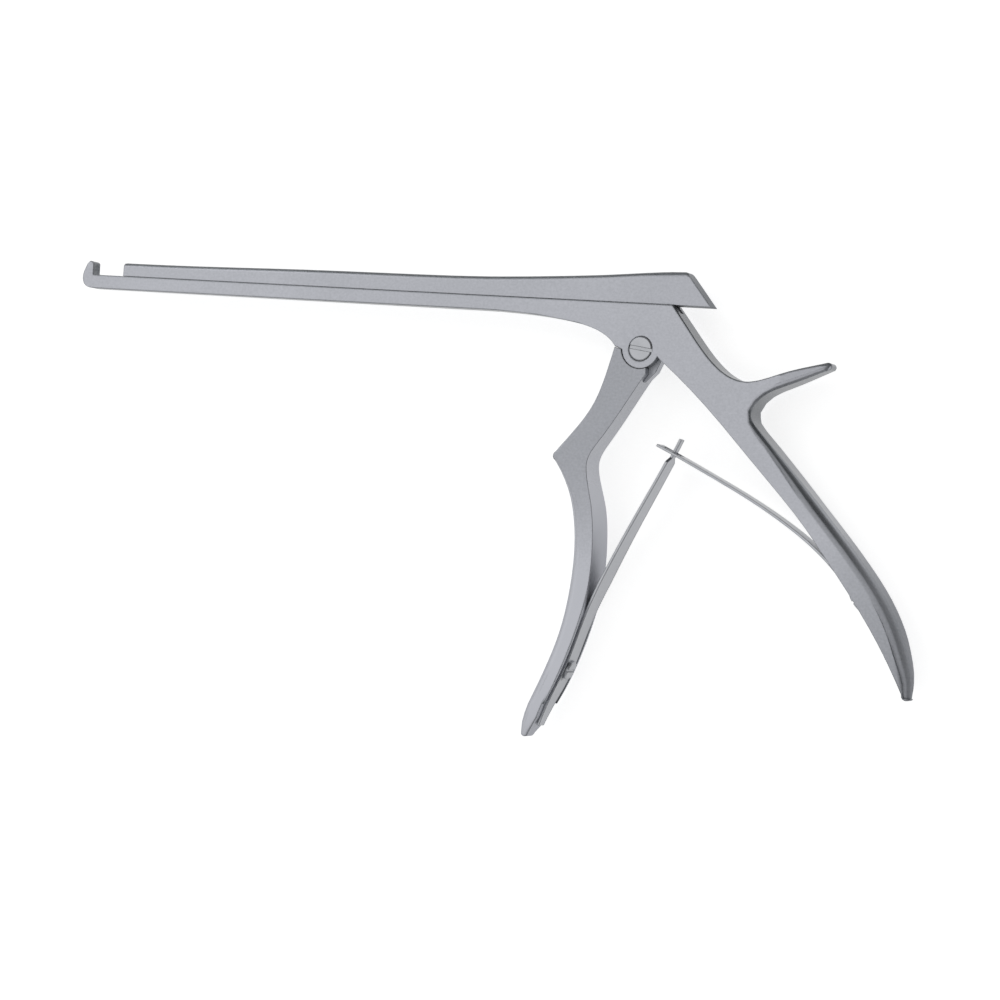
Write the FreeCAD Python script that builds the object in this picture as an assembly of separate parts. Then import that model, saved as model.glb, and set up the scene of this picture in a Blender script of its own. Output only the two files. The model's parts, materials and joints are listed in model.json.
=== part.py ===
import FreeCAD, Part
import math
import os

V = FreeCAD.Vector

# Bone rongeur with a sliding upper shaft, in millimetres.
# The instrument lies flat on its side: X runs back along the shafts, Y up through the handles,
# and Z is its thickness. Everything is drawn about the pivot, in the middle plane, and the
# finished pieces are then moved so that the origin is under the middle of the instrument.

# Main sizes
shaft_length = 180.0          # from the front of the footplate back to the pivot
seam_height = 12.6            # top of the lower shaft, above the pivot
handle_drop = 90.2            # end of the rear handle, below the pivot
lever_drop = 110.7            # end of the front lever, below the pivot
flat_thickness = 12.0         # of the palm and the grip, on whose flat sides it lies

# Shafts and jaw
lower_shaft_height = 4.0
footplate_thickness = 3.4
footplate_rise = 4.1          # above the lower shaft
jaw_opening = 10.3
closing_gap = 0.1             # left between slide and footplate when closed
slide_front_height = 4.0      # slide above the seam, at its cutting edge
slide_rear_height = 9.5
slide_rear_top = 11.3         # where the top of the slide turns down, from the pivot
slide_rear_end = 19.2
seam_gap = 0.06               # running gap between slide and lower shaft
cup_radius = 2.6              # hollow ground into each biting face
cup_depth = 0.5
cup_height = 2.0              # of its middle, above the seam

# Thickness at stations along the seam: (place, thickness)
jaw_width = 4.0
shaft_rise = ((-120.0, 4.7), (-60.0, 5.5), (-20.0, 6.4), (5.0, 7.4), (28.0, 8.5), (64.0, 10.4))
slide_rise = ((-120.0, 4.7), (-60.0, 5.5), (-20.0, 5.9), (5.0, 5.8), (28.0, 5.2))
palm_from = 104.0             # the palm keeps its full thickness between these places
palm_to = 150.0
palm_fall = ((166.0, 11.2), (178.0, 8.2), (185.0, 4.4), (189.0, 2.2))

# Guide rail of the slide and its groove in the lower shaft
rail_setback = 30.0           # front of the rail, from the front of the footplate
rail_rear = 0.8
rail_neck_width = 1.5
rail_head_width = 2.4
rail_neck_drop = 0.9
rail_head_drop = 1.9
rail_gap = 0.08
groove_front_spare = 1.5      # groove left in front of the rail when closed

# Pivot
lug_radius = 5.5
lug_gap = 0.15                # between the lug and the lever's shoulder
slot_width = 3.4              # slot in the body for the lever's tongue
slot_side_gap = 0.1           # between the tongue and each side of its slot
slot_radius = 8.1             # slot round the pivot
slot_half_angle = 31.5        # the slot's opening towards the slide
shank_radius = 2.4
thread_radius = 2.1
running_fit = 0.03
head_radius = 3.4
head_fit = 0.12
head_depth = 1.3              # of the head's seat in the body
head_proud = 0.3
head_chamfer = 0.3
screw_slot_width = 1.0
screw_slot_depth = 0.7
screw_slot_turn = -7.0        # degrees

# Lever
lever_swing = 37.0            # degrees from open to closed
tongue_radius = 6.4
nose_radius = 2.0
arm_width = 3.4
notch_fit = 0.12              # between the nose and each wall of its notch
notch_head_room = 0.35
notch_mouth = 0.95            # how much wider the notch is at the seam, each side
lever_rise = ((2.0, 8.0), (-14.0, 8.1), (-28.0, 9.2), (-38.0, 10.9))
grip_from = -48.0             # the grip keeps its full thickness between these heights
grip_to = -90.0
lever_fall = ((-101.0, 10.2), (-107.5, 7.2), (-111.0, 4.0), (-113.0, 2.2))
tongue_root = ((6.0, -2.2), (4.3, -6.2), (1.5, -9.2), (-7.0, -9.2), (-6.2, -1.5))
shoulder_start = 185.5        # degrees round the pivot
shoulder_end = 292.0

# Leaf springs
leaf_thickness = 0.7
front_leaf_width = 8.6
front_leaf_end_width = 3.4
front_root_width = 7.0
front_leaf_neck = 6.4         # width below the tongue
front_tongue_width = 2.6
front_seat_width = 10.2       # channel in the lever that the root lies in
rear_leaf_width = 6.4
rear_root_width = 7.0
rear_leaf_tip_width = 5.6
rear_seat_width = 8.2
leaf_window_width = 3.4       # slot in the rear leaf for the front leaf's tongue
leaf_screw_radius = 2.8
leaf_screw_height = 0.9
leaf_screw_chamfer = 0.25
leaf_screw_shank = 1.3
leaf_screw_depth = 2.6
leaf_hole_gap = 0.1
spot_face_depth = 0.05        # below the top of the leaf
small_slot_width = 0.8
small_slot_depth = 0.45
front_screw_height = -90.8    # of the leaf screws' middles, from the pivot
rear_screw_height = -64.4

# Rounding of long edges: (share of the edge's length, radius)
frame_back_rounding = ((0.0, 2.0), (0.06, 3.2), (0.34, 3.2), (0.46, 1.5), (0.60, 1.3), (0.70, 0.8),
                       (0.78, 0.5), (1.0, 0.4))
slide_top_rounding = ((0.0, 1.2), (1.0, 1.4))
lever_front_rounding = ((0.0, 1.0), (0.1, 2.2), (0.58, 2.2), (0.7, 0.7), (1.0, 0.5))
shaft_bottom_rounding = ((0.0, 0.4), (1.0, 0.5))
slide_rear_round = 1.5
slide_nose_round = 0.7
rounding_bite = 0.02          # how far outside the metal a rounding starts

# Worked out from the sizes above
footplate_front = -shaft_length
footplate_face = footplate_front + footplate_thickness
rail_front = footplate_front + rail_setback
shaft_stations = ((footplate_front - 2.0, jaw_width),) + shaft_rise
slide_stations = ((footplate_front - 2.0, jaw_width),) + slide_rise
tongue_width = slot_width - 2.0 * slot_side_gap
slide_travel = jaw_opening - closing_gap
half_swing = math.radians(lever_swing / 2.0)
nose_reach = slide_travel / (2.0 * math.sin(half_swing))
slide_front = footplate_face + jaw_opening
shaft_bottom = seam_height - lower_shaft_height
body_rear = slide_rear_end - 0.6 - slide_travel


def spline(points, start=None, end=None):
    """A smooth edge through the points, with set directions at its ends if they are given."""
    vectors = [V(*p) if len(p) == 3 else V(p[0], p[1], 0) for p in points]
    places = [0.0]
    for a, b in zip(vectors, vectors[1:]):
        places.append(places[-1] + (b - a).Length)
    curve = Part.BSplineCurve()
    if start and end:
        curve.interpolate(Points=vectors, Parameters=places, Scale=False,
                          InitialTangent=V(*start).normalize(), FinalTangent=V(*end).normalize())
    else:
        curve.interpolate(Points=vectors, Parameters=places)
    return curve.toShape()


def line(a, b):
    return Part.makeLine(V(a[0], a[1], 0), V(b[0], b[1], 0))


def arc(a, through, b):
    return Part.Arc(V(a[0], a[1], 0), V(through[0], through[1], 0), V(b[0], b[1], 0)).toShape()


def polar(radius, degrees):
    angle = math.radians(degrees)
    return (radius * math.cos(angle), radius * math.sin(angle))


def plate(edges, thickness):
    """The closed outline as a flat plate, centred on the middle plane."""
    face = Part.Face(Part.Wire(edges))
    face.translate(V(0, 0, -thickness / 2.0))
    return face.extrude(V(0, 0, thickness))


def polygon_plate(points, thickness):
    edges = [line(a, b) for a, b in zip(points, points[1:] + points[:1])]
    return plate(edges, thickness)


def block(x0, x1, y0, y1, width):
    return Part.makeBox(x1 - x0, y1 - y0, width, V(x0, y0, -width / 2.0))


def pin(radius, z0, z1, x=0.0, y=0.0):
    return Part.makeCylinder(radius, z1 - z0, V(x, y, z0))


def at_place(stations, place):
    """The value that the stations give at a place, in a straight line between two of them."""
    ordered = sorted(stations)
    for (x0, v0), (x1, v1) in zip(ordered, ordered[1:]):
        if place <= x1:
            share = max(0.0, (place - x0) / (x1 - x0))
            return v0 + (v1 - v0) * share
    return ordered[-1][1]


def half_profile(rise, fall, side):
    """One side of a thickness profile in the XZ plane: up to full thickness, level, and down."""
    up = [(place, 0, side * thickness / 2.0) for place, thickness in rise]
    down = [(place, 0, side * thickness / 2.0) for place, thickness in fall]
    if not down:
        return [spline(up)]
    step = 1 if fall[0][0] > rise[-1][0] else -1
    ahead = (step, 0, 0)
    first = tuple(b - a for a, b in zip(up[0], up[1]))
    last = tuple(b - a for a, b in zip(down[-2], down[-1]))
    return [spline(up, first, ahead), Part.makeLine(V(*up[-1]), V(*down[0])), spline(down, ahead, last)]


def thickness_solid(rise, fall, turn, start, sweep):
    """A solid as thick as the stations say, with its profile turned about Z, moved to start and
    swept along the vector sweep."""
    near = half_profile(rise, fall, 1)
    far = half_profile(rise, fall, -1)
    ends = [Part.makeLine(near[-1].Vertexes[-1].Point, far[-1].Vertexes[-1].Point),
            Part.makeLine(near[0].Vertexes[0].Point, far[0].Vertexes[0].Point)]
    wire = Part.Wire(Part.__sortEdges__(near + far + ends))
    face = Part.Face(wire)
    face.rotate(V(0, 0, 0), V(0, 0, 1), turn)
    face.translate(start)
    return face.extrude(sweep)


def frame_thickness():
    """Thickness of the frame, the same along lines at 45 degrees, so that it grows both along
    the shafts and down the handle."""
    rise = shaft_stations + ((palm_from, flat_thickness),)
    fall = ((palm_to, flat_thickness),) + palm_fall
    back = 120.0
    return thickness_solid(rise, fall, 0, V(-back, seam_height - back, 0), V(back + 30.0, back + 30.0, 0))


def frame_half_at(x, y):
    """Half the frame's thickness at a point of its side."""
    stations = shaft_stations + ((palm_from, flat_thickness), (palm_to, flat_thickness)) + palm_fall
    half = at_place(stations, x - (y - seam_height)) / 2.0
    return min(half, spur_half_at(x) if y > -16.0 and x > 31.0 else half)


def slide_thickness():
    return thickness_solid(slide_stations, (), 0, V(0, 0, 0), V(0, 40.0, 0))


def slide_half_at(x, y):
    return at_place(slide_stations, x) / 2.0


def lever_thickness():
    rise = lever_rise + ((grip_from, flat_thickness),)
    fall = ((grip_to, flat_thickness),) + lever_fall
    return thickness_solid(rise, fall, 90, V(-60.0, 0, 0), V(120.0, 0, 0))


def lever_half_at(x, y):
    stations = lever_rise + ((grip_from, flat_thickness), (grip_to, flat_thickness)) + lever_fall
    return at_place(stations, y) / 2.0


def edge_rounding(path, count, radii, half_at, outward, side):
    """The metal outside a rounded edge: sections along the outline's path, joined by straight
    walls. outward is 1 if the free side is on the path's left, and half_at gives the place of
    the flat side."""
    points = path.discretize(Number=count)
    along = [(b - a).normalize() for a, b in zip(points, points[1:])]
    before = [along[0]] + along
    after = along + [along[-1]]
    reached = [0.0]
    for a, b in zip(points, points[1:]):
        reached.append(reached[-1] + (b - a).Length)
    sections = []
    spare = 1.2
    for index, point in enumerate(points):
        ahead = (before[index] + after[index]).normalize()
        if index == 0:
            point = point - ahead * spare
        if index == count - 1:
            point = point + ahead * spare
        out = V(-ahead.y, ahead.x, 0) * outward
        radius = at_place(radii, reached[index] / reached[-1])
        sections.append(rounding_section(point, out, radius, half_at(point.x, point.y), side))
    return Part.makeLoft(sections, True, True)


def rounding_section(point, out, radius, half, side):
    """A rounded edge in three facets and the corner outside it, across the edge."""
    spare = 1.2
    turned = [radius * (1.0 - math.cos(math.radians(angle))) for angle in (90, 60, 30, 0)]
    inward = turned[::-1]
    ring = [(a - rounding_bite, b - rounding_bite) for a, b in zip(inward, turned)]
    ring = ring + [(radius, -spare), (-spare, -spare), (-spare, radius)]
    corners = []
    for across, below in ring:
        place = point - out * across
        corners.append(V(place.x, place.y, side * (half - below)))
    return Part.makePolygon(corners + corners[:1])


def lowered(points, top, drawn, drop):
    """The points of a handle that is drawn down to one depth, stretched below top to end at
    another."""
    share = (top + drop) / (top + drawn)
    return [(x, y if y > top else top + (y - top) * share) for x, y in points]


def rear_handle(points):
    return lowered(points, -20.0, 90.2, handle_drop)


def lever_grip(points):
    return lowered(points, -31.0, 110.7, lever_drop)


def handle_back_points():
    return rear_handle([(84.4, -88.4), (83.2, -79.0), (77.8, -66.6), (68.7, -54.3), (57.5, -42.0),
                        (45.6, -29.6), (36.2, -20.2)])


def frame_outline():
    top = seam_height
    low = shaft_bottom
    lip = top + footplate_rise
    bite = footplate_face
    corner = (-7.7, 0.25)
    lug_start = polar(lug_radius, 184.5)
    lug_end = polar(lug_radius, -20.0)
    throat = (6.3, -3.0)
    handle_front = rear_handle([throat, (24.6, -18.5), (37.2, -30.8), (49.5, -43.0), (59.9, -55.2),
                                (69.5, -67.4), (77.6, -79.6), (82.0, -88.6)])
    handle_end = rear_handle([(83.2, -90.2)])[0]
    handle_back = handle_back_points()
    crotch = [handle_back[-1], (33.9, -16.6), (36.4, -11.6), (43.3, -7.8), (54.4, -2.7)]
    horn_tip = (55.05, -1.75)
    spine = [(53.7, -0.8), (43.7, -3.8), (37.0, -6.3), (31.8, -7.4), (26.8, -6.3), (21.1, -2.3),
             (14.6, 5.0), (body_rear, top)]
    return [line((bite, top), (bite - 0.1, lip - 0.6)),
            spline([(bite - 0.1, lip - 0.6), (bite - 0.9, lip), (footplate_front + 1.4, lip - 0.5)]),
            spline([(footplate_front + 1.4, lip - 0.5), (footplate_front + 0.3, top + 1.0),
                    (footplate_front, top - 1.1), (footplate_front + 0.9, low + 0.9),
                    (footplate_front + 4.0, low)], (-0.42, -0.91, 0), (1, 0, 0)),
            line((footplate_front + 4.0, low), (-50.0, low)),
            spline([(-50.0, low), (-33.4, low - 0.6), (-20.0, low - 2.3), (-11.2, low - 5.2), corner],
                   (1, 0, 0), (1, -1.6, 0)),
            line(corner, lug_start),
            arc(lug_start, (0, -lug_radius), lug_end),
            line(lug_end, throat),
            spline(handle_front),
            arc(handle_front[-1], handle_end, handle_back[0]),
            spline(handle_back, (0.1, 1, 0), (-1, 1, 0)),
            spline(crotch, (-1, 1, 0), (1, 0.46, 0)),
            arc(crotch[-1], horn_tip, spine[0]),
            spline(spine, (-1, -0.3, 0), (-1, 1.2, 0)),
            line(spine[-1], (bite, top))]


def spur_half_at(x):
    """The thumb spur narrows towards its tip."""
    return at_place(((40.0, 5.3), (58.0, 2.7)), x)


def spur_taper(side):
    """The wedge outside the thumb spur's side."""
    corners = [V(x, -16.0, side * spur_half_at(x)) for x in (36.0, 40.0, 58.0)]
    corners = corners + [V(58.0, -16.0, side * 9.0), V(36.0, -16.0, side * 9.0)]
    corners[0] = V(36.0, -16.0, side * 7.0)
    return Part.Face(Part.makePolygon(corners + corners[:1])).extrude(V(0, 20.0, 0))


def rail_groove():
    """The T-shaped groove that the slide's rail runs in, open at the body's rear edge."""
    start = rail_front - slide_travel - groove_front_spare
    neck = block(start, body_rear + 2.0, seam_height - rail_neck_drop - rail_gap, seam_height + 1.0,
                 rail_neck_width + 2 * rail_gap)
    head = block(start, body_rear + 5.0, seam_height - rail_head_drop - rail_gap,
                 seam_height - rail_neck_drop + rail_gap, rail_head_width + 2 * rail_gap)
    return neck.fuse(head)


def tongue_slot():
    """The slot in the body that the lever's tongue swings in, opening up to the seam."""
    height = seam_height + 1.0
    reach = height * math.tan(math.radians(slot_half_angle))
    wedge = polygon_plate([(0, 0), (reach, height), (-reach, height)], slot_width)
    return pin(slot_radius, -slot_width / 2.0, slot_width / 2.0).fuse(wedge)


pivot_thickness = at_place(shaft_stations, seam_height)


def screw_hole():
    """Bore for the shank, seat for the head in the near cheek, thread in the far cheek."""
    near = pivot_thickness / 2.0
    bore = pin(shank_radius + running_fit, -slot_width / 2.0, near + 1.0)
    seat = pin(head_radius + head_fit, near - head_depth, near + 1.0)
    thread = pin(thread_radius, -near - 1.0, 0)
    return bore.fuse([seat, thread])


def biting_cup(face_x, into):
    """A shallow hollow in a biting face; into is the direction of the metal along X."""
    centre = V(face_x - into * (cup_radius - cup_depth), 0, 0)
    return Part.makeSphere(cup_radius, centre + V(0, seam_height + cup_height, 0))


def make_frame():
    frame = plate(frame_outline(), 30.0).common(frame_thickness())
    outline = frame_outline()
    back = Part.Wire(outline[-5:-1])
    bottom = Part.Wire(outline[3:5])
    cutters = []
    for side in (1, -1):
        cutters.append(spur_taper(side))
        cutters.append(edge_rounding(back, 60, frame_back_rounding, frame_half_at, -1, side))
        cutters.append(edge_rounding(bottom, 14, shaft_bottom_rounding, frame_half_at, -1, side))
    for cutter in cutters:
        frame = frame.cut(cutter)
    return frame.cut([tongue_slot(), rail_groove(), screw_hole(), biting_cup(footplate_face, -1),
                      leaf_seat(rear_leaf_path(), rear_seat_width),
                      leaf_screw_hole(rear_leaf_path(), rear_screw_height)])


def slide_top_edge():
    heights = ((slide_front, slide_front_height), (-140.5, 4.2), (-108.0, 4.8), (-75.7, 5.1), (-44.6, 5.7),
               (-26.4, 6.7), (-14.4, 7.5), (-2.5, 8.6), (4.0, 9.15), (slide_rear_top, slide_rear_height))
    return spline([(x, seam_height + height) for x, height in heights])


def slide_blank():
    base = seam_height + seam_gap
    top = slide_top_edge()
    front = top.Vertexes[0].Point
    rear = top.Vertexes[-1].Point
    blank = plate([line((slide_front, base), front), top, line(rear, (slide_rear_end, base)),
                   line((slide_rear_end, base), (slide_front, base))], 20.0)
    corner = [e for e in blank.Edges if (e.CenterOfMass - V(rear.x, rear.y, 0)).Length < 0.1]
    return blank.makeFillet(slide_rear_round, corner).common(slide_thickness())


def nose_notch():
    """The slot in the slide that the lever's nose works in: straight walls above, and a mouth
    that flares so that the tilted arm clears it."""
    centre = slide_travel / 2.0
    wall = nose_radius + notch_fit
    level = nose_reach * math.cos(half_swing) - 0.35
    roof = nose_reach + nose_radius + notch_head_room
    mouth = wall + notch_mouth
    base = seam_height - 1.0
    return polygon_plate([(centre - wall, roof), (centre - wall, level),
                          (centre - mouth, seam_height), (centre - mouth, base),
                          (centre + mouth, base), (centre + mouth, seam_height),
                          (centre + wall, level), (centre + wall, roof)], slot_width)


def slide_nose_corner():
    """The small corner ground off the slide's front, above its cutting edge."""
    top = seam_height + slide_front_height
    size = slide_nose_round
    return polygon_plate([(slide_front - 1.0, top + 1.0), (slide_front - 1.0, top - size),
                          (slide_front, top - size), (slide_front + 0.3 * size, top - 0.3 * size),
                          (slide_front + size, top + 0.02), (slide_front + size, top + 1.0)], 10.0)


def make_slide():
    slide = slide_blank()
    top = Part.Wire([slide_top_edge()])
    for side in (1, -1):
        slide = slide.cut(edge_rounding(top, 16, slide_top_rounding, slide_half_at, 1, side))
    slide = slide.cut(slide_nose_corner())
    neck = block(rail_front, rail_rear, seam_height - rail_neck_drop, seam_height + 0.5, rail_neck_width)
    head = block(rail_front, rail_rear, seam_height - rail_head_drop, seam_height - rail_neck_drop,
                 rail_head_width)
    slide = slide.fuse([neck, head])
    return slide.cut([nose_notch(), biting_cup(slide_front, 1)])


def lever_outline():
    ring = lug_radius + lug_gap
    top_left = (-7.75, 0.11)
    start = polar(ring, shoulder_start)
    bottom = polar(ring, (shoulder_start + shoulder_end) / 2.0)
    end = polar(ring, shoulder_end)
    heel = (2.2, -7.0)
    rear = lever_grip([heel, (-1.3, -12.7), (-5.4, -19.7), (-10.0, -26.9), (-12.5, -31.9), (-12.2, -36.3),
                       (-10.0, -44.0), (-8.6, -53.5), (-8.4, -62.0), (-9.1, -70.0), (-10.8, -78.0),
                       (-14.4, -89.7), (-20.1, -102.8), (-24.2, -109.7)])
    foot = (-26.6, -109.3)
    grip = lever_grip([foot, (-26.1, -106.1), (-22.1, -95.5), (-17.1, -81.7), (-14.6, -66.0),
                       (-14.9, -51.3), (-17.5, -41.3), (-22.5, -32.7)])
    tip = lever_grip([(-25.7, -110.7)])[0]
    shank = [(-22.6, -30.3), (-18.0, -24.5), (-13.2, -17.4), (-9.6, -7.4), top_left]
    return [line(top_left, start), arc(start, bottom, end), line(end, heel), spline(rear),
            arc(rear[-1], tip, grip[0]), spline(grip),
            arc(grip[-1], (-23.2, -31.5), shank[0]), spline(shank)]


def lever_tongue():
    """The thin upper part: a disc on the pivot, its root, and the arm with the round nose."""
    half = tongue_width / 2.0
    disc = pin(tongue_radius, -half, half)
    root = polygon_plate(list(tongue_root), tongue_width)
    arm = block(-arm_width / 2.0, arm_width / 2.0, 0.0, nose_reach, tongue_width)
    nose = pin(nose_radius, -half, half, 0.0, nose_reach)
    arm = arm.fuse(nose)
    arm.rotate(V(0, 0, 0), V(0, 0, 1), -lever_swing / 2.0)
    return disc.fuse([root, arm])


def make_lever():
    outline = lever_outline()
    lever = plate(outline, 30.0).common(lever_thickness())
    front = Part.Wire(outline[-3:])
    for side in (1, -1):
        lever = lever.cut(edge_rounding(front, 44, lever_front_rounding, lever_half_at, 1, side))
    lever = lever.fuse(lever_tongue())
    return lever.cut([pin(shank_radius + running_fit, -10.0, 10.0),
                      leaf_seat(front_leaf_path(), front_seat_width),
                      leaf_screw_hole(front_leaf_path(), front_screw_height)])


def make_pivot_screw():
    """Slotted head with a chamfered rim, plain shank for the lever, and the threaded end, flush
    behind."""
    near = pivot_thickness / 2.0
    top = near + head_proud
    profile = [V(0, 0, -near), V(thread_radius - head_chamfer, 0, -near),
               V(thread_radius, 0, -near + head_chamfer), V(thread_radius, 0, -slot_width / 2.0),
               V(shank_radius, 0, -slot_width / 2.0), V(shank_radius, 0, near - head_depth),
               V(head_radius, 0, near - head_depth), V(head_radius, 0, top - head_chamfer),
               V(head_radius - head_chamfer, 0, top), V(0, 0, top)]
    face = Part.Face(Part.makePolygon(profile + profile[:1]))
    screw = face.revolve(V(0, 0, 0), V(0, 0, 1), 360)
    slot = Part.makeBox(3 * head_radius, screw_slot_width, 2.0,
                        V(-1.5 * head_radius, -screw_slot_width / 2.0, top - screw_slot_depth))
    slot.rotate(V(0, 0, 0), V(0, 0, 1), screw_slot_turn)
    return screw.cut(slot)


def front_leaf_path():
    """The front leaf's path, from its tip down to its root, with its free side on the left."""
    tip = [(13.1, -24.3), (7.8, -35.9), (1.0, -50.0), (-5.4, -64.2)]
    return tip + lever_grip([(-10.8, -78.0), (-14.4, -89.7), (-20.1, -102.8), (-21.7, -107.2)])


def rear_leaf_path():
    """The rear leaf's path, from its root up to its tip, with its free side on the left."""
    return rear_handle([(76.9, -78.5), (69.5, -67.4), (59.9, -55.9), (47.7, -46.6), (33.0, -38.4),
                        (11.4, -28.3), (9.0, -27.2), (6.8, -26.4)])


def leaf_outline(points, inner, outer):
    """The band between two offsets from a path, measured to its left side."""
    path = spline(points)
    count = len(points) + 2
    sides = ([], [])
    for i in range(count + 1):
        place = path.FirstParameter + (path.LastParameter - path.FirstParameter) * i / count
        point = path.valueAt(place)
        along = path.tangentAt(place)
        left = V(-along.y, along.x, 0)
        for side, offset in zip(sides, (inner, outer)):
            moved = point + left * offset
            side.append((moved.x, moved.y))
    low, high = sides
    high = high[::-1]
    return [spline(low), line(low[-1], high[0]), spline(high), line(high[-1], low[0])]


def leaf_seat(points, width):
    """The shallow channel that a leaf's root lies in, open on the leaf's free side."""
    return plate(leaf_outline(points, -leaf_thickness / 2.0, 4.0), width)


def path_place(points, height):
    """Point of a leaf's path at a height, and the direction that its free side faces."""
    path = spline(points)
    cut = Part.makeLine(V(-200, height, 0), V(200, height, 0))
    gap, pairs, info = path.distToShape(cut)
    point = pairs[0][0]
    along = path.tangentAt(path.Curve.parameter(point))
    return point, V(-along.y, along.x, 0)


def leaf_screw_hole(points, height):
    """The blind hole below a leaf for its screw."""
    centre, outward = path_place(points, height)
    return Part.makeCylinder(leaf_screw_shank, leaf_screw_depth, centre, -outward)


def leaf_screw_way(points, height):
    """What is cut from a leaf for its screw: the hole, and the spot face for the head."""
    centre, outward = path_place(points, height)
    hole = Part.makeCylinder(leaf_screw_shank + leaf_hole_gap, leaf_thickness + 1.0,
                             centre - outward * leaf_thickness, outward)
    spot = Part.makeCylinder(leaf_screw_radius + leaf_hole_gap, leaf_screw_height,
                             centre + outward * (leaf_thickness / 2.0 - spot_face_depth), outward)
    return hole.fuse(spot)


def leaf_screw(points, height):
    """A round slotted screw that clamps a leaf's root."""
    centre, outward = path_place(points, height)
    seat = leaf_thickness / 2.0 - spot_face_depth
    rim = leaf_screw_height - leaf_screw_chamfer
    shank = leaf_screw_depth - 0.2 + seat
    profile = [V(0, 0, -shank), V(leaf_screw_shank - running_fit, 0, -shank),
               V(leaf_screw_shank - running_fit, 0, 0), V(leaf_screw_radius, 0, 0),
               V(leaf_screw_radius, 0, rim), V(leaf_screw_radius - leaf_screw_chamfer, 0, leaf_screw_height),
               V(0, 0, leaf_screw_height)]
    screw = Part.Face(Part.makePolygon(profile + profile[:1])).revolve(V(0, 0, 0), V(0, 0, 1), 360)
    slot = Part.makeBox(3 * leaf_screw_radius, small_slot_width, 2.0)
    slot.translate(V(-1.5 * leaf_screw_radius, -small_slot_width / 2.0, leaf_screw_height - small_slot_depth))
    screw = screw.cut(slot)
    turn = FreeCAD.Rotation(V(0, 0, 1), V(0, 0, 0), outward, "ZXY")
    screw.Placement = FreeCAD.Placement(centre + outward * seat, turn)
    return screw


def leaf_blank(points, stations):
    """A leaf of even thickness along its path, as wide as its stations say. Each station is a
    share of the straight line between the path's ends, and a width."""
    band = plate(leaf_outline(points, -leaf_thickness / 2.0, leaf_thickness / 2.0), 20.0)
    first = V(points[0][0], points[0][1], 0)
    last = V(points[-1][0], points[-1][1], 0)
    run = last - first
    aside = V(-run.y, run.x, 0).normalize() * 40.0
    near = [first + run * share + V(0, 0, width / 2.0) for share, width in stations]
    far = [first + run * share - V(0, 0, width / 2.0) for share, width in reversed(stations)]
    ring = [p - aside for p in near + far]
    plan = Part.Face(Part.makePolygon(ring + ring[:1])).extrude(aside * 2.0)
    return band.common(plan)


def make_front_spring():
    stations = ((-0.02, front_tongue_width), (0.064, front_tongue_width), (0.08, front_leaf_neck),
                (0.5, front_leaf_width), (0.7, front_root_width), (0.87, front_root_width),
                (1.02, front_leaf_end_width))
    leaf = leaf_blank(front_leaf_path(), stations)
    return leaf.cut(leaf_screw_way(front_leaf_path(), front_screw_height))


def make_rear_spring():
    stations = ((-0.02, rear_root_width), (0.3, rear_root_width), (0.5, rear_leaf_width),
                (1.02, rear_leaf_tip_width))
    leaf = leaf_blank(rear_leaf_path(), stations)
    window = block(7.9, 13.6, -36.0, -20.0, leaf_window_width)
    return leaf.cut([leaf_screw_way(rear_leaf_path(), rear_screw_height), window])


def build():
    """Every piece by its node's name, in place about the pivot."""
    return {"frame": make_frame(),
            "slide": make_slide(),
            "front_lever": make_lever(),
            "pivot_screw": make_pivot_screw(),
            "front_spring": make_front_spring(),
            "rear_spring": make_rear_spring(),
            "front_spring_screw": leaf_screw(front_leaf_path(), front_screw_height),
            "rear_spring_screw": leaf_screw(rear_leaf_path(), rear_screw_height)}


def main():
    pieces = build()
    box = Part.makeCompound(list(pieces.values())).optimalBoundingBox(False, False)
    shift = V(-box.Center.x, -box.Center.y, -box.ZMin)
    os.makedirs("parts", exist_ok=True)
    for name, shape in pieces.items():
        shape.translate(shift)
        shape.exportStep("parts/" + name + ".step")
        print(name, shape.isValid(), len(shape.Solids), round(shape.Volume, 2))
    print("pivot at", [round(c, 4) for c in shift])
    print("size", [round(c, 2) for c in (box.XLength, box.YLength, box.ZLength)])


main()
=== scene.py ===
# %% [markdown]
# ## A bone rongeur on a white table
# This instrument is almost all one material: stainless steel, forged, milled and then finished by
# hand. What tells its pieces apart is the finish. The flat sides are blasted to a fine satin, the
# edges and the two leaf springs are polished, and the screws are turned on a lathe. The solids
# come from the packed frame, and this script gives them their finish, cuts the springs into short
# lengths and sets up the light.

# %% Load the frame
import json
import math

import bmesh
import bpy
from mathutils import Matrix, Vector


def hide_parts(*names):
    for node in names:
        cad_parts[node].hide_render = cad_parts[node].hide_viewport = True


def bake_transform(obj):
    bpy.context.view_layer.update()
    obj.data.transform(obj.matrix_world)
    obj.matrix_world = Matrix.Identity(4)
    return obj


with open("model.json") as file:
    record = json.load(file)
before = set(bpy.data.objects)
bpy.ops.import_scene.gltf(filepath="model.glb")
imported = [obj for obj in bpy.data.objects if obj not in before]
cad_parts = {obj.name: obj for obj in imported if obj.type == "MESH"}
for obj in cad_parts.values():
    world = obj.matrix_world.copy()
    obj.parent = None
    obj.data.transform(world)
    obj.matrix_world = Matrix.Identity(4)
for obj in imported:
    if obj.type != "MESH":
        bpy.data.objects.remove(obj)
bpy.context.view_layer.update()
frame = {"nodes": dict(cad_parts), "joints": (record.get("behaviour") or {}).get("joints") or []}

nodes = frame["nodes"]
lever_hinge = frame["joints"][0]
pivot = Vector(lever_hinge["pos_m"])
print("pivot at", [round(c * 1000, 2) for c in pivot], "mm;", len(nodes), "solids")

# %% [markdown]
# ## The camera
# The photograph was taken with a long lens, from about 22 degrees to the right of straight above
# the instrument's side, and slightly rolled. That is why the faces that look to the right show as
# narrow bands. A camera could be aimed with a constraint, but that leaves out the roll, so it is
# given its own three axes here. It is placed from the pivot, as everything on the instrument is.

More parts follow.
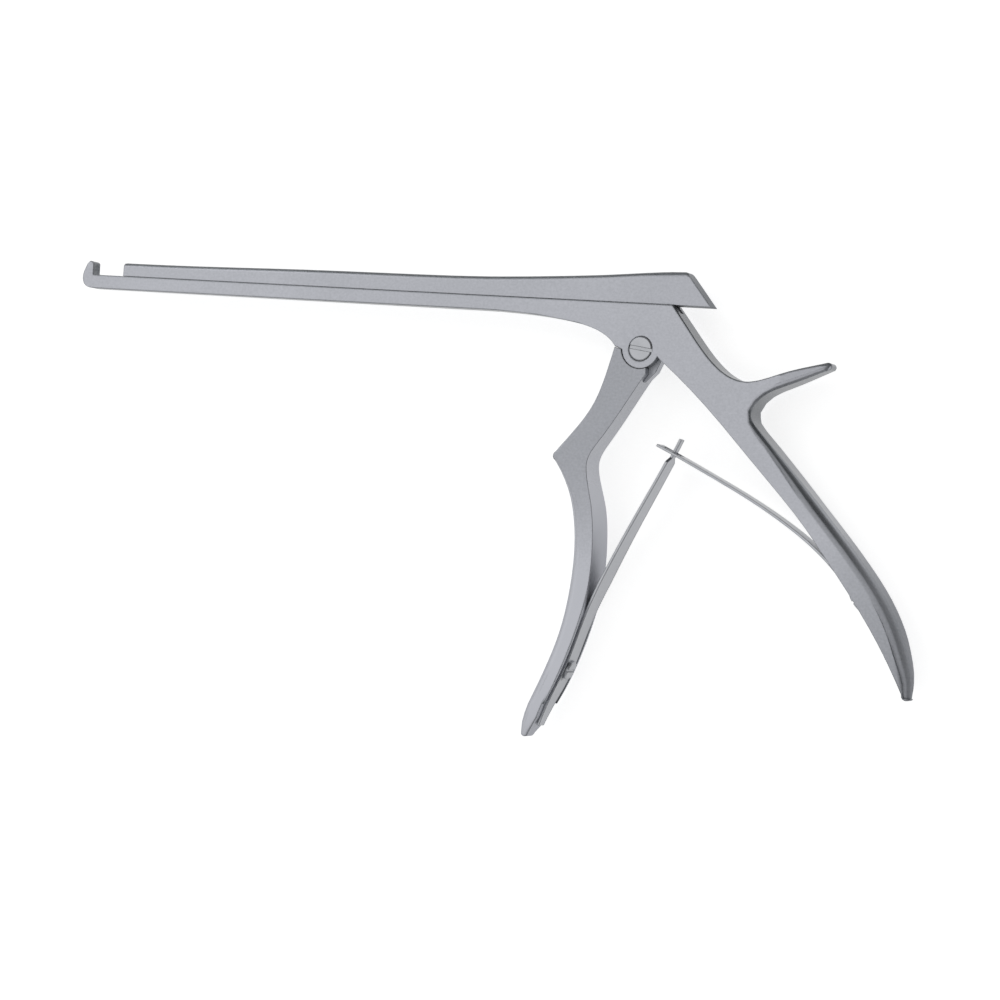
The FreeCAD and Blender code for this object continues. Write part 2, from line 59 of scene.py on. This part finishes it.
# %% Camera
camera_right = Vector((0.92213, 0.08551, -0.37731))
camera_up = Vector((-0.07373, 0.99624, 0.04557))
camera_back = Vector((0.37978, -0.01421, 0.92497))
camera_place = pivot + Vector((0.30052, -0.05776, 0.82871))
camera_lens = 113.68             # millimetres, on a frame 36 mm wide

camera_data = bpy.data.cameras.new("camera")
camera_data.sensor_width = 36.0
camera_data.lens = camera_lens
camera = bpy.data.objects.new("camera", camera_data)
axes = Matrix((camera_right, camera_up, camera_back)).transposed().to_4x4()
camera.matrix_world = Matrix.Translation(camera_place) @ axes
bpy.context.scene.collection.objects.link(camera)
bpy.context.scene.camera = camera
print("camera", round((camera_place - pivot).length, 3), "m from the pivot")

# %% [markdown]
# ## Writing a finish as arithmetic
# A procedural finish is a sum of simple patterns. Drawn as boxes and wires it is hard to read, so
# the small class below wraps a wire that carries a number. Adding or multiplying two of them adds
# the Math node for it. Everything else goes through one method that makes any node.

# %% Wires
class Wire:
    """A number that flows through a finish. Arithmetic on it adds Math nodes."""

    def __init__(self, finish, socket):
        self.finish = finish
        self.socket = socket

    def math(self, operation, first, second=None):
        values = {0: first} if second is None else {0: first, 1: second}
        return self.finish.node("ShaderNodeMath", {"operation": operation}, values)

    def __add__(self, other):
        return self.math("ADD", self, other)

    def __radd__(self, other):
        return self.math("ADD", other, self)

    def __sub__(self, other):
        return self.math("SUBTRACT", self, other)

    def __rsub__(self, other):
        return self.math("SUBTRACT", other, self)

    def __mul__(self, other):
        return self.math("MULTIPLY", self, other)

    def __rmul__(self, other):
        return self.math("MULTIPLY", other, self)

    def size(self):
        return self.math("ABSOLUTE", self)

    def step_up(self, low, high):
        """0 below low, 1 above high, and smooth between them."""
        return self.finish.node("ShaderNodeMapRange", {"interpolation_type": "SMOOTHSTEP"},
                                {"Value": self, "From Min": low, "From Max": high})


print("a wire knows", len([name for name in vars(Wire) if not name.startswith("__")]), "operations")

# %% [markdown]
# ## A finish under construction
# A material and the world both hold a tree of nodes, so one class builds either. Its first methods
# make nodes, and the others are what this instrument's finishes share: a pattern of noise, a fade
# from one place to another, and masks for flat sides and for edges. The Bevel node gives the
# direction that a face would look in if every edge were rounded. The shader uses it to soften the
# edges, and the masks compare it with the face's own direction to find them.

# %% Finishes
class Finish:
    """The nodes of a material or of the world. Places and radii are given in millimetres."""

    def __init__(self, owner):
        owner.use_nodes = True
        self.owner = owner
        self.tree = owner.node_tree
        self.tree.nodes.clear()
        self.coordinates = self.tree.nodes.new("ShaderNodeTexCoord").outputs

    def raw(self, kind, settings, values):
        """A new node: its settings are set first, then its sockets get values or wires."""
        made = self.tree.nodes.new(kind)
        for key, value in settings.items():
            setattr(made, key, value)
        for key, value in values.items():
            socket = made.inputs[key]
            if isinstance(value, Wire):
                self.tree.links.new(value.socket, socket)
            elif isinstance(value, bpy.types.NodeSocket):
                self.tree.links.new(value, socket)
            else:
                socket.default_value = value
        return made

    def node(self, kind, settings, values, output=0):
        return Wire(self, self.raw(kind, settings, values).outputs[output])

    def light_path(self, ray):
        """1 for rays of this kind, such as Is Camera Ray, and 0 for the others."""
        return Wire(self, self.raw("ShaderNodeLightPath", {}, {}).outputs[ray])

    def place(self, scale=(1, 1, 1)):
        """The point on the piece, stretched, for a pattern to read."""
        made = self.raw("ShaderNodeMapping", {}, {"Vector": self.coordinates["Object"], "Scale": scale})
        return made.outputs[0]

    def noise(self, place, scale, detail):
        """An uneven pattern from 0 to 1, with this many waves to the metre."""
        return self.node("ShaderNodeTexNoise", {}, {"Vector": place, "Scale": scale, "Detail": detail,
                                                    "Roughness": 0.55})

    def colour(self, share, first, second):
        """A colour between two, by a wire that runs from 0 to 1."""
        made = self.raw("ShaderNodeMix", {"data_type": "RGBA"},
                        {0: share, 6: (*first, 1), 7: (*second, 1)})
        return made.outputs[2]

    def between(self, share, first, second):
        """A direction between two, by a wire that runs from 0 to 1."""
        made = self.raw("ShaderNodeMix", {"data_type": "VECTOR"}, {0: share, 4: first, 5: second})
        return made.outputs[1]

    def flatness(self):
        """1 on the two flat sides, which look along Z, and 0 on the edge faces."""
        parts = self.raw("ShaderNodeSeparateXYZ", {}, {"Vector": self.coordinates["Normal"]})
        return Wire(self, parts.outputs["Z"]).size()

    def dot(self, first, second):
        """How far one vector reaches along another."""
        made = self.raw("ShaderNodeVectorMath", {"operation": "DOT_PRODUCT"}, {0: first, 1: second})
        return Wire(self, made.outputs["Value"])

    def along(self, toward, start, end):
        """0 at one place and 1 at another, by how far a point is from the pivot in a direction."""
        at_pivot = Vector(toward).dot(pivot)
        reach = self.dot(self.coordinates["Object"], toward)
        return reach.step_up(at_pivot + start / 1000, at_pivot + end / 1000)

    def rounded(self, radius):
        """The direction a face looks in, as if every edge had this radius."""
        return self.raw("ShaderNodeBevel", {"samples": 6}, {"Radius": radius / 1000}).outputs[0]

    def edge(self, rounded):
        """1 along the edges, where the rounded direction leaves the face's own, and 0 elsewhere."""
        face = self.raw("ShaderNodeNewGeometry", {}, {}).outputs["Normal"]
        return 1.0 - self.dot(rounded, face).step_up(0.86, 0.99)

    def leaning(self, rounded, toward):
        """1 where the rounded direction has begun to turn towards this one, and 0 elsewhere."""
        own = self.raw("ShaderNodeVectorTransform",
                       {"vector_type": "NORMAL", "convert_from": "WORLD", "convert_to": "OBJECT"},
                       {"Vector": rounded}).outputs[0]
        return self.dot(own, toward).step_up(0.15, 0.45)

    def ends(self, kind, shader):
        """Joins the shader to the output and gives back the finished material or world."""
        self.raw(kind, {}, {"Surface": shader.outputs[0]})
        print(self.owner.name, len(self.tree.nodes), "nodes")
        return self.owner

    def metal(self, colour, roughness, height, depth, direction):
        """Steel of this colour and roughness, its surface raised by height times depth."""
        bump = self.raw("ShaderNodeBump", {}, {"Height": height, "Strength": 1.0,
                                               "Distance": depth / 1000, "Normal": direction})
        shader = self.raw("ShaderNodeBsdfPrincipled", {},
                          {"Base Color": colour, "Metallic": 1.0, "Roughness": roughness,
                           "Normal": bump.outputs[0]})
        return self.ends("ShaderNodeOutputMaterial", shader)


print("a finish knows", len([name for name in vars(Finish) if not name.startswith("__")]), "methods")

# %% [markdown]
# ## Satin steel
# The instrument is blasted with fine glass beads and then brushed lightly, so its flat sides are
# pale and even, with a fine mottled grain and no clear reflections. Its narrow sides are polished,
# and their darker tone is painted shade for the dark side of the room that they mirror. Its edges
# are broken with a fine file and mirror that dark side too, and they also get a painted dark line.
# Along the handles, where the palm and the fingers close round them, the tones change as painted
# light and shade for the rounding there, and the flat and narrow tones come close together. So each
# piece gives two painted tones for its flat sides and two for its narrow ones, away from the hand and
# under it. Some edges also keep a painted shade strip: those along the top and the back, up to the
# handle, and the one beside the root of the front leaf, in the gap there.
# All this could be painted on a picture, but arithmetic on the piece's own coordinates stays sharp
# at any distance and needs no file. The patterns are from 9000 waves to the metre, for the marks of
# the beads, to 14, for the worn places.

# %% Satin steel
dark_steel = (0.14, 0.15, 0.16)
pale_steel = (0.50, 0.51, 0.55)
broken_edge = 0.42               # millimetres, as the radii below
wide_edge = 0.85
forged_edge = 1.4


def satin_steel(name, toward_hand, flats, flats_fade, sides, sides_fade, strip_faces, strip_fade):
    """Tones run from 0, dark, to 1, pale, first away from the hand and then under it; they are painted
    light and shade. A fade is the two places, in millimetres from the pivot along toward_hand, that a
    change runs between; the painted shade strip's runs from where it is gone to where it shows. The
    strip lies beside strip_faces."""
    finish = Finish(bpy.data.materials.new(name))
    grain = finish.noise(finish.place(), 9000, 2.0)
    mottle = finish.noise(finish.place(), 1600, 2.0)
    brushing = finish.noise(finish.place((1, 14, 1)), 420, 4.0)
    cloud = finish.noise(finish.place(), 38, 3.0)
    rubbed = finish.noise(finish.place(), 14, 2.0).step_up(0.52, 0.72)
    # These two fades along the handle paint light and shade on the flat and the narrow sides; the first
    # also makes the narrow sides rougher there.
    shade_and_roughness_fade = finish.along(toward_hand, *flats_fade)
    side_shade_fade = finish.along(toward_hand, *sides_fade)
    level = finish.flatness()
    flat = level.step_up(0.55, 0.95)
    crisp = finish.rounded(broken_edge)
    # This mask paints a dark line along every edge into the colour: painted shade.
    edge = finish.edge(crisp)
    # These two lines paint a dark strip on the flat sides beside some edges: painted shade.
    beside = finish.leaning(finish.rounded(wide_edge), strip_faces)
    strip = beside * flat * finish.along(toward_hand, *strip_fade)
    forged = level.step_up(0.1, 0.3) * (1.0 - level.step_up(0.95, 0.99))
    direction = finish.between(forged, crisp, finish.rounded(forged_edge))
    # The tones below are painted light and shade: the narrow sides darker, and both tones changing
    # along the handle.
    flat_tone = shade_and_roughness_fade * (flats[1] - flats[0]) + flats[0]
    side_tone = side_shade_fade * (sides[1] - sides[0]) + sides[0]
    tone = side_tone + flat * (flat_tone - side_tone)
    # In the lightness, tone, edge and strip are painted light and shade; cloud, brushing, mottle and
    # rubbed are the steel's own uneven tone and wear.
    lightness = (tone + (cloud - 0.5) * 0.14 + (brushing - 0.5) * 0.16 + (mottle - 0.5) * 0.35
                 + rubbed * 0.05 - edge * 0.45 - strip * 1.1)
    colour = finish.colour(lightness, dark_steel, pale_steel)
    roughness = (0.24 + flat * 0.20 + shade_and_roughness_fade * (1.0 - flat) * 0.34 + (cloud - 0.5) * 0.12
                 - rubbed * 0.05 - edge * 0.12)
    height = grain * 0.6 + brushing * 0.4
    return finish.metal(colour, roughness, height, 0.006, direction)


# Directions for the painted shade strip: up and back for the frame and the slide, towards the root of
# the front leaf for the lever.
up_and_back = (0.5, 0.85, 0)
toward_leaf = (0.87, -0.5, 0)
# The tones given here are painted light and shade: the frame's narrow sides dark away from the handle
# and its flat sides darker in the palm, the lever paler towards its grip.
frame_satin = satin_steel("frame_satin_steel", toward_hand=(1, -1, 0),
                          flats=(0.84, 0.58), flats_fade=(95, 140),
                          sides=(0.06, 0.46), sides_fade=(15, 110),
                          strip_faces=up_and_back, strip_fade=(140, 95))
slide_satin = satin_steel("slide_satin_steel", toward_hand=(1, 0, 0),
                          flats=(0.82, 0.82), flats_fade=(0, 20),
                          sides=(0.24, 0.24), sides_fade=(0, 20),
                          strip_faces=up_and_back, strip_fade=(220, 200))
lever_satin = satin_steel("lever_satin_steel", toward_hand=(0, -1, 0),
                          flats=(0.62, 1.10), flats_fade=(30, 80),
                          sides=(0.76, 1.20), sides_fade=(15, 60),
                          strip_faces=toward_leaf, strip_fade=(64, 76))

# %% [markdown]
# ## Polished spring steel
# The leaves are cut from rolled strip. Rolling leaves lines along the strip, and polishing leaves
# them just visible. The broad faces are painted darker beside their long edges, and every edge gets
# a painted dark line: both are painted shade.

# %% Spring steel
def spring_steel():
    finish = Finish(bpy.data.materials.new("spring_steel"))
    lines = finish.noise(finish.place((1, 1, 10)), 900, 3.0)
    cloud = finish.noise(finish.place(), 60, 2.0)
    crisp = finish.rounded(0.35)
    wide = finish.rounded(1.1)
    broad_face = 1.0 - finish.flatness().step_up(0.4, 0.8)
    # The next mask paints a dark band on the broad faces beside the long edges: painted shade.
    edge_shade = (finish.leaning(wide, (0, 0, 1)) + finish.leaning(wide, (0, 0, -1))) * broad_face
    # The edge term paints a dark line along every edge: painted shade.
    lightness = (0.75 + (lines - 0.5) * 0.3 + (cloud - 0.5) * 0.25 - finish.edge(crisp) * 0.9
                 - edge_shade * 0.8)
    colour = finish.colour(lightness, (0.10, 0.11, 0.12), (0.56, 0.57, 0.60))
    roughness = 0.30 + (cloud - 0.5) * 0.15 + (lines - 0.5) * 0.10
    return finish.metal(colour, roughness, lines, 0.004, crisp)


spring = spring_steel()

# %% [markdown]
# ## Turned screw steel
# The screws were faced on a lathe, which leaves fine rings round their middle. Rings need the
# distance from the screw's own axis, so each screw gets a finish that knows where its axis is.

# %% Screw steel
def screw_steel(name, centre, turn):
    """Rings round the line through centre, which runs along Z until it is turned."""
    finish = Finish(bpy.data.materials.new(name))
    local = finish.raw("ShaderNodeMapping", {"vector_type": "TEXTURE"},
                       {"Vector": finish.coordinates["Object"], "Location": centre,
                        "Rotation": turn}).outputs[0]
    rings = finish.node("ShaderNodeTexWave", {"wave_type": "RINGS", "rings_direction": "Z"},
                        {"Vector": local, "Scale": 900.0, "Distortion": 0.6, "Detail": 1.0})
    cloud = finish.noise(finish.place(), 300, 2.0)
    crisp = finish.rounded(0.2)
    edge = finish.edge(crisp)
    # The edge term paints a dark rim round the screw's edges: painted shade.
    lightness = 0.7 + (rings - 0.5) * 0.08 + (cloud - 0.5) * 0.2 - edge * 1.1
    colour = finish.colour(lightness, (0.09, 0.10, 0.11), (0.62, 0.63, 0.66))
    roughness = 0.34 + (cloud - 0.5) * 0.2 - edge * 0.15
    return finish.metal(colour, roughness, rings, 0.004, crisp)


def middle(piece):
    """The middle of a piece's box."""
    corners = [piece.matrix_world @ Vector(corner) for corner in piece.bound_box]
    return sum(corners, Vector()) / len(corners)


lying = math.radians(90)
leaf_screws_face = {"front_spring_screw": -20.0, "rear_spring_screw": 218.5}
screw_finishes = {"pivot_screw": screw_steel("pivot_screw_steel", pivot, (0, 0, 0))}
for name, degrees in leaf_screws_face.items():
    turn = (0, lying, math.radians(degrees))
    screw_finishes[name] = screw_steel(name + "_steel", middle(nodes[name]), turn)

# %% [markdown]
# ## Putting the finishes on
# The solids arrive with plain stand-in materials. Each of them that keeps its shape gets its finish
# in their place. The two leaves get theirs below, because copies of them take their place.

# %% Put the finishes on
def wear(piece, finish):
    """The piece gets this finish and no other."""
    piece.data.materials.clear()
    piece.data.materials.append(finish)


finishes = {"frame": frame_satin, "slide": slide_satin, "front_lever": lever_satin, **screw_finishes}
for name, finish in finishes.items():
    wear(nodes[name], finish)
    print(name, "wears", finish.name)

# %% [markdown]
# ## Leaves cut into lengths
# A solid can only move as a whole, but a leaf spring bends: its root stays on its own handle, and
# where the two tips meet, each has to give way by half of the handle's turn. A chain of bones could
# do that. Here each leaf is copied and cut across into short lengths, and the lengths are not turned.
# The cuts run along a line from the place where the leaf leaves its handle, which is twice as long
# as the free part of the leaf, so that a turn along it would be half done at the tip.

# %% Leaf springs
def bending_leaf(name, leaves_at, tip_at, lengths=48):
    """A copy of a leaf's solid, cut across into short lengths between two places. The two places are in
    millimetres from the pivot.
    """
    root = pivot + Vector((*leaves_at, 0)) / 1000
    tip = pivot + Vector((*tip_at, 0)) / 1000
    solid = nodes[name]
    shape = bmesh.new()
    shape.from_mesh(solid.data)
    shape.transform(solid.matrix_world)
    bmesh.ops.remove_doubles(shape, verts=shape.verts, dist=1e-6)
    for cut in range(1, lengths):
        bmesh.ops.bisect_plane(shape, geom=shape.verts[:] + shape.edges[:] + shape.faces[:], dist=1e-7,
                               plane_co=root.lerp(tip, cut / lengths), plane_no=tip - root)
    mesh = bpy.data.meshes.new(name + "_leaf")
    shape.to_mesh(mesh)
    shape.free()
    leaf = bpy.data.objects.new(name + "_leaf", mesh)
    bpy.context.scene.collection.objects.link(leaf)
    wear(leaf, spring)
    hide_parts(name)
    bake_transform(leaf)
    print(leaf.name, len(mesh.polygons), "faces")
    return leaf


bending_leaf("front_spring", leaves_at=(-8.4, -71.0), tip_at=(13.1, -24.3))
bending_leaf("rear_spring", leaves_at=(64.0, -60.5), tip_at=(6.8, -26.4))

# %% [markdown]
# ## The table
# The instrument lies on a white table that runs out of the picture. More light would make the
# table white, but it would also wash out the steel. So the paint is plain, and a glow is added that
# only the camera, and what the steel mirrors, can see. The shadow stays.

# %% Table
white = (1, 1, 1, 1)
table_paint = (0.8, 0.8, 0.8, 1)
table_half = 3.0                 # metres
table_top = -0.0002              # just under the instrument, so that the two don't flicker


def table_finish():
    finish = Finish(bpy.data.materials.new("white_table"))
    seen = finish.light_path("Is Camera Ray")
    mirrored = finish.light_path("Is Glossy Ray") + finish.light_path("Is Transmission Ray")
    paint = finish.raw("ShaderNodeBsdfDiffuse", {}, {"Color": table_paint})
    glow = finish.raw("ShaderNodeEmission", {},
                      {"Color": white, "Strength": seen * 0.72 + mirrored * 0.55})
    both = finish.raw("ShaderNodeAddShader", {}, {0: paint.outputs[0], 1: glow.outputs[0]})
    return finish.ends("ShaderNodeOutputMaterial", both)


signs = ((-1, -1), (1, -1), (1, 1), (-1, 1))
corners = [(x * table_half, y * table_half, table_top) for x, y in signs]
table_mesh = bpy.data.meshes.new("table")
table_mesh.from_pydata(corners, [], [(0, 1, 2, 3)])
table = bpy.data.objects.new("table", table_mesh)
bpy.context.scene.collection.objects.link(table)
wear(table, table_finish())
print("table", 2 * table_half, "m wide")

# %% [markdown]
# ## The room
# A metal edge is drawn by what it reflects. The room is white overhead and on the left, and dark
# near the floor on the right and at the back, so the rounded edges that look that way show as thin
# dark lines, and those on the left stay bright. The camera itself never sees the dark part: to it,
# and through anything clear, the room is white all over. Other light from the room is even.

# %% Room
whitest_toward = (-0.6, -0.3, 1.0)
dark_side = 0.22
even_light = 0.42

world = bpy.data.worlds.new("room")
bpy.context.scene.world = world
room = Finish(world)
brightness = room.node("ShaderNodeMapRange", {},
                       {"Value": room.dot(room.coordinates["Generated"], whitest_toward),
                        "From Min": 0.25, "From Max": 0.95, "To Min": dark_side, "To Max": 1.0})
lit = room.node("ShaderNodeMapRange", {}, {"Value": room.light_path("Is Glossy Ray"),
                                           "To Min": even_light, "To Max": brightness})
clear = room.light_path("Is Camera Ray") + room.light_path("Is Transmission Ray")
strength = room.node("ShaderNodeMapRange", {}, {"Value": clear, "To Min": lit, "To Max": 1.0})
background = room.raw("ShaderNodeBackground", {}, {"Color": white, "Strength": strength})
room.ends("ShaderNodeOutputWorld", background)

# %% [markdown]
# ## The lamp
# The room does most of the lighting. One large lamp, high on the left and behind, adds the soft
# shadow at the right and the front, and gives the grain of the steel some relief. It is weak, so
# that a colour renders about as it is written.

# %% Lamp
lamp_place = Vector((-1.0, 0.9, 0.9))
lamp_data = bpy.data.lights.new("key", "AREA")
lamp_data.shape = "SQUARE"
lamp_data.size = 0.8
lamp_data.energy = 3.0
lamp = bpy.data.objects.new("key", lamp_data)
lamp.location = lamp_place
lamp.rotation_euler = (pivot - lamp_place).to_track_quat("-Z", "Y").to_euler()
bpy.context.scene.collection.objects.link(lamp)
bpy.context.scene.view_settings.view_transform = "Standard"
print("lamp", round((lamp_place - pivot).length, 2), "m from the pivot")

# %% [markdown]
